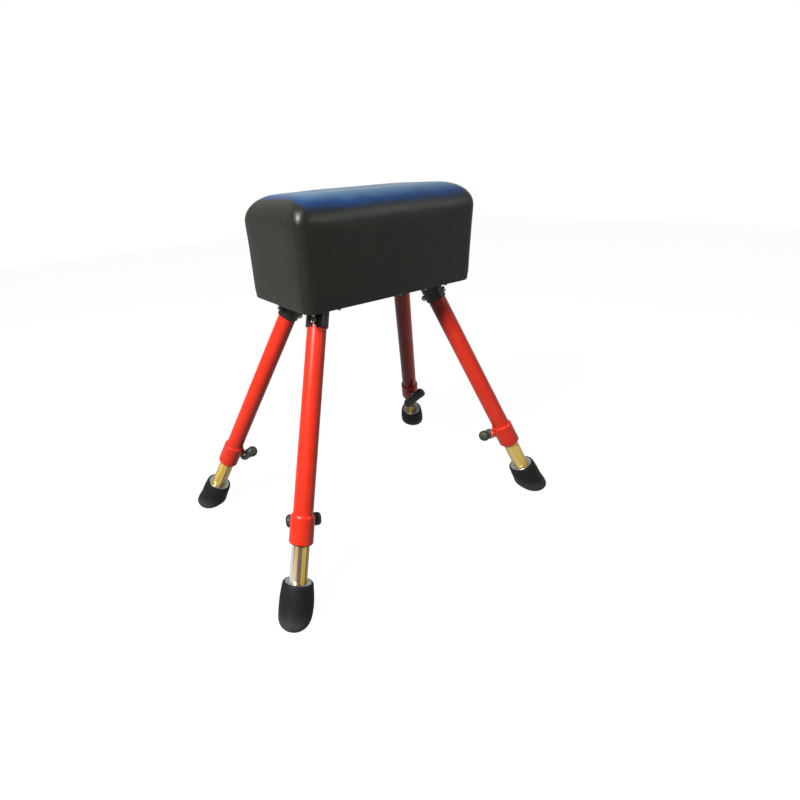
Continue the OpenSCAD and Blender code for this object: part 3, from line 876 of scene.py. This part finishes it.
def make_grip(leg):
    """Moulded bar handle with fluted wings, a plain waist and domed ends."""
    node_name = "t_handle_" + leg.place
    bar = long_axis(node_name)
    bar = (bar - leg.out * bar.dot(leg.out)).normalized()
    points = np.array([v.co for v in frame["nodes"][node_name].data.vertices])
    half = float(np.ptp((points - np.array(leg.grip_centre)) @ np.array(bar))) / 2
    matrix = basis(leg.grip_centre, bar, leg.out)
    profile = [(half, 0.0)]
    for a in np.linspace(80, 0, 9):
        a = math.radians(a)
        profile.append((
            half - GRIP_END_ROUND * (1 - math.sin(a)),
            GRIP_END_R - GRIP_END_ROUND + GRIP_END_ROUND * math.cos(a)))
    for t in np.linspace(0.04, 1, 22):
        x = half - GRIP_END_ROUND - t * (half - GRIP_END_ROUND)
        profile.append((x, GRIP_MID_R + (GRIP_END_R - GRIP_MID_R) * smoothstep(0.010, 0.040, x)))
    profile += [(-x, r) for x, r in profile[-2::-1]]
    rings = []
    for x, radius in profile[1:-1]:
        past_waist = smoothstep(0.011, 0.017, abs(x))
        past_wing = smoothstep(half - 0.011, half - 0.003, abs(x))
        depth = FLUTE_DEPTH * past_waist * (1 - past_wing)
        ring = []
        for i in range(GRIP_SIDES):
            a = 2 * math.pi * i / GRIP_SIDES
            flute = max(0.0, math.cos(FLUTES * a)) ** 0.7
            r = radius - depth * flute
            ring.append(matrix @ Vector((r * math.cos(a), r * math.sin(a), x)))
        rings.append(ring)
    build = Build()
    build.rings(rings)
    grip = build.object("grip_" + leg.place, GRIP, 50.0)
    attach(grip, "handle_" + leg.place)
    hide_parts(node_name)


def threaded(build, matrix, start, end, radius, pitch, bore):
    """A threaded rod along +Z, with tapered ends and a blind (radius, depth) bore at its start."""
    sides = 32
    chamfer = 0.0012
    depth = 0.6 * pitch
    bore_r, bore_l = bore
    rings = [
        circle(matrix, bore_r, start + bore_l, sides),
        circle(matrix, bore_r, start, sides),
    ]
    steps = max(2, round((end - start) / (pitch / 8)))
    for i in range(steps + 1):
        z = start + (end - start) * i / steps
        ring = []
        taper = min(z - start, end - z)
        for j in range(sides):
            a = 2 * math.pi * j / sides
            phase = (z / pitch - j / sides) % 1.0
            wave = 1 - abs(2 * phase - 1)
            r = radius - depth * (1 - min(1.0, 1.25 * wave))
            r = min(r, radius - depth + depth * taper / chamfer)
            ring.append(matrix @ Vector((r * math.cos(a), r * math.sin(a), z)))
        rings.append(ring)
    build.rings(rings)


def make_screw(leg):
    """M16 clamp screw with a real thread, a plain neck and a ferrule under the grip."""
    matrix = leg.clamp_frame()
    points = np.array([v.co for v in frame["nodes"]["clamp_screw_" + leg.place].data.vertices])
    reach = (points - np.array(leg.clamp_centre)) @ np.array(leg.out)
    start, end = float(reach.min()), float(reach.max())
    neck = GRIP_AT - GRIP_MID_R - 0.0004
    build = Build()
    threaded(build, matrix, start, neck, SCREW_D / 2 - SCREW_SLACK, THREAD_PITCH, PIN_BORE)
    lathe(build, matrix, [
        (SCREW_D / 2 - 0.0008, neck - 0.0004), (FERRULE_R - 0.0007, neck - 0.0004),
        (FERRULE_R, neck + 0.0003), (FERRULE_R, neck + FERRULE_L),
        (SCREW_D / 2, neck + FERRULE_L), (SCREW_D / 2, end),
    ], 48)
    screw = build.object("screw_" + leg.place, SCREW, 30.0)
    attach(screw, "handle_" + leg.place)
    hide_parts("clamp_screw_" + leg.place)


# ---- weld beads -------------------------------------------------------------

BEAD_STEPS = 220
COLLAR_BEAD = (0.0028, 55)
BOSS_BEAD = (0.0019, 26)
SOCKET_BEAD = (0.0026, 60)
PLATE_T = 0.006


def bead(build, path, normals, radius, ripples):
    """A weld bead: a rounded ridge along a closed path, rippled like a row of coins."""
    count = len(path)
    rings = []
    for i in range(count):
        a, b = path[i - 1], path[(i + 1) % count]
        tangent = (b - a).normalized()
        side = tangent.cross(normals[i]).normalized()
        up = side.cross(tangent).normalized()
        wave = 1 + 0.16 * abs(math.sin(math.pi * ripples * i / count)) - 0.08
        r = radius * wave
        rings.append([
            path[i] + (side * math.cos(t) + up * math.sin(t)) * r
            for t in (2 * math.pi * k / 10 for k in range(10))
        ])
    build.rings(rings, closed_ends=False, loop=True)


def make_welds(leg):
    """Beads round the collar's upper end and its boss, and round the socket under its plate."""
    red = Build()
    matrix = leg.frame(COLLAR_TOP)
    turns = [2 * math.pi * i / BEAD_STEPS for i in range(BEAD_STEPS)]
    radial = [matrix.to_3x3() @ Vector((math.cos(a), math.sin(a), 0)) for a in turns]
    outward = [(r - leg.down).normalized() for r in radial]
    path = [matrix.translation + r * (TUBE_D / 2 + 0.0008) for r in radial]
    bead(red, path, outward, *COLLAR_BEAD)
    clamp = leg.clamp_frame()
    path, normals = [], []
    for a in turns:
        u, v = math.cos(a) * (BOSS_D / 2 + 0.0004), math.sin(a) * (BOSS_D / 2 + 0.0004)
        height = math.sqrt((COLLAR_D / 2) ** 2 - v * v) + 0.0002
        path.append(clamp @ Vector((u, v, height)))
        normals.append((clamp.to_3x3() @ Vector((math.cos(a), math.sin(a), 1.2))).normalized())
    bead(red, path, normals, *BOSS_BEAD)
    welds = red.object("welds_red_" + leg.place, RED, 60.0)
    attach(welds, BUCK)

    black = Build()
    path, normals = [], []
    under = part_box("base_board")[0].z - PLATE_T
    across = basis(leg.origin, leg.down, Vector((0, 0, 1)))
    for a in turns:
        outwards = Vector((math.cos(a), math.sin(a), 0))
        p = across @ (outwards * (SOCKET_D / 2))
        p += leg.down * ((under - p.z) / leg.down.z)
        path.append(p + Vector((0, 0, -0.0006)))
        normals.append((across.to_3x3() @ outwards + Vector((0, 0, -0.8))).normalized())
    bead(black, path, normals, *SOCKET_BEAD)
    welds = black.object("welds_black_" + leg.place, BLACK, 60.0)
    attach(welds, BUCK)


for leg in LEGS.values():
    make_foot(leg)
    make_grip(leg)
    make_screw(leg)
    make_welds(leg)


# ---- stage, light and camera ------------------------------------------------

FLOOR_HALF = 9.0
FLOOR_GLOW = 0.97
FLOOR_IN_MIRROR = 0.50
FLOOR_FILL = 0.02
SKY_FILL = 0.035
SKY_BRIGHT_SIDE = (0.70, 0.62, 0.0)

# Where each lamp is and what it points at, its width in metres, its power and its highlights
KEY_LAMP = ("key", (-2.66, -0.67, 3.08), (0.0, 0.0, 0.6), 0.8, 240, 1.0)
SIDE_LAMP = ("right", (1.6, -2.2, 1.9), (0.4, -0.2, 0.6), 1.0, 17, 0.2)

# The camera that was fitted to the photograph
CAMERA_AT = (-0.9919, -1.2996, 1.1989)
CAMERA_YAW, CAMERA_PITCH, CAMERA_ROLL = 0.5267, -0.3265, -0.0719
CAMERA_LENS = 22.02
CAMERA_SHIFT = (0.1165, -0.0726)


def make_stage():
    """Pale floor: white to the camera, dull to everything it would otherwise light from below."""
    build = Build()
    corners = ((-1, -1), (1, -1), (1, 1), (-1, 1))
    build.add([(x * FLOOR_HALF, y * FLOOR_HALF, 0) for x, y in corners], [(0, 1, 2, 3)])
    f = Finish("pale_floor")
    tree = f.tree
    output = tree.nodes["Material Output"]
    cloudy = f.noise(2.0, 3.0)
    grey = f.mix(cloudy, (0.08, 0.08, 0.08), (0.09, 0.09, 0.09))
    seen = f.node("ShaderNodeBsdfDiffuse", {"Color": grey})
    glow = f.node("ShaderNodeEmission", {"Color": (1, 1, 1, 1), "Strength": FLOOR_GLOW})
    bright = f.node("ShaderNodeAddShader", {0: seen.outputs[0], 1: glow.outputs[0]})
    path = f.node("ShaderNodeLightPath")
    mirrored = f.math("MULTIPLY", path.outputs["Is Glossy Ray"], FLOOR_IN_MIRROR)
    fill = f.math("ADD", mirrored, FLOOR_FILL)
    dull = f.node("ShaderNodeEmission", {"Color": (1, 1, 1, 1), "Strength": fill})
    mixed = f.node("ShaderNodeMixShader", {
        0: path.outputs["Is Camera Ray"], 1: dull.outputs[0], 2: bright.outputs[0]})
    below = f.node("ShaderNodeNewGeometry").outputs["Backfacing"]
    one_way = f.node("ShaderNodeMixShader", {
        0: below, 1: mixed.outputs[0], 2: f.node("ShaderNodeBsdfTransparent").outputs[0]})
    tree.links.new(one_way.outputs[0], output.inputs["Surface"])
    build.object("floor", f.material)


def square_lamp(name, location, target, size, energy, highlights):
    """A soft square lamp that points at a target."""
    data = bpy.data.lights.new(name, "AREA")
    data.shape = "SQUARE"
    data.size = size
    data.energy = energy
    data.specular_factor = highlights
    lamp = bpy.data.objects.new(name, data)
    bpy.context.scene.collection.objects.link(lamp)
    lamp.location = location
    aim = Vector(target) - Vector(location)
    lamp.rotation_euler = aim.to_track_quat("-Z", "Y").to_euler()


def make_world():
    """White to the camera, dim as a lamp, and in mirrors brighter towards one side."""
    world = bpy.data.worlds.new("studio")
    bpy.context.scene.world = world
    world.use_nodes = True
    tree = world.node_tree
    tree.nodes.clear()

    def add(kind, inputs, **settings):
        made = tree.nodes.new(kind)
        for key, value in settings.items():
            setattr(made, key, value)
        for key, value in inputs.items():
            if isinstance(value, bpy.types.NodeSocket):
                tree.links.new(value, made.inputs[key])
            else:
                made.inputs[key].default_value = value
        return made.outputs

    direction = add("ShaderNodeTexCoord", {})["Generated"]
    behind = add(
        "ShaderNodeVectorMath", {0: direction, 1: SKY_BRIGHT_SIDE}, operation="DOT_PRODUCT")
    level = add("ShaderNodeMapRange", {
        "Value": behind["Value"],
        "From Min": 0.1, "From Max": 0.9, "To Min": 0.16, "To Max": 0.90,
    })["Result"]
    path = add("ShaderNodeLightPath", {})
    dim = add(
        "ShaderNodeMix", {"Factor": path["Is Glossy Ray"], 2: SKY_FILL, 3: level},
        data_type="FLOAT")[0]
    strength = add(
        "ShaderNodeMix", {"Factor": path["Is Camera Ray"], 2: dim, 3: 1.0}, data_type="FLOAT")[0]
    sky = add("ShaderNodeBackground", {"Color": (1, 1, 1, 1), "Strength": strength})
    add("ShaderNodeOutputWorld", {"Surface": sky[0]})


def make_lights():
    square_lamp(*KEY_LAMP)
    square_lamp(*SIDE_LAMP)
    make_world()
    bpy.context.scene.view_settings.view_transform = "Standard"


def make_camera():
    """The photograph's viewpoint: just above the buck's top, from its front left."""
    yaw, pitch, roll = CAMERA_YAW, CAMERA_PITCH, CAMERA_ROLL
    ahead = Vector((
        math.sin(yaw) * math.cos(pitch), math.cos(yaw) * math.cos(pitch), math.sin(pitch)))
    right = Vector((math.cos(yaw), -math.sin(yaw), 0))
    above = right.cross(ahead)
    tilted_right = right * math.cos(roll) + above * math.sin(roll)
    tilted_up = above * math.cos(roll) - right * math.sin(roll)
    data = bpy.data.cameras.new("camera")
    data.sensor_width = 36
    data.lens = CAMERA_LENS
    data.shift_x, data.shift_y = CAMERA_SHIFT
    camera = bpy.data.objects.new("camera", data)
    bpy.context.scene.collection.objects.link(camera)
    matrix = Matrix((tilted_right, tilted_up, -ahead)).transposed().to_4x4()
    matrix.translation = Vector(CAMERA_AT)
    camera.matrix_world = matrix
    bpy.context.scene.camera = camera


make_stage()
make_lights()
make_camera()
